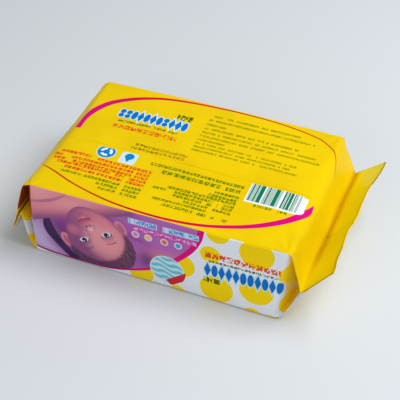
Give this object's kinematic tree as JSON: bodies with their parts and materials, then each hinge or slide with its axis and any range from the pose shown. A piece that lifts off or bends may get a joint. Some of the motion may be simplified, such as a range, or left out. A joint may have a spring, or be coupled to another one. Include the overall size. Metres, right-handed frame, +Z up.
{
  "type": "wet wipes pack",
  "caption": "Sealed soft film pack of wet wipes with a folded back seam, gusseted ends with fin seals, and a reseal label underneath.",
  "frame": {"origin": "centre of the flat face that the pack lies on, under the middle of its body", "axes": "+X along the pack's length from fin seal to fin seal, +Y across it, away from the side with the seam flap's free edge, +Z up out of the back seam face"},
  "size_m": [0.2005, 0.1108, 0.0532],
  "materials": {
    "printed_film": "smooth yellow printed film with a soft satin gloss",
    "label_film": "glossy pale label film"
  },
  "bodies": {
    "root": {"film_pack": "printed_film", "reseal_label": "label_film"}
  },
  "joints": []
}
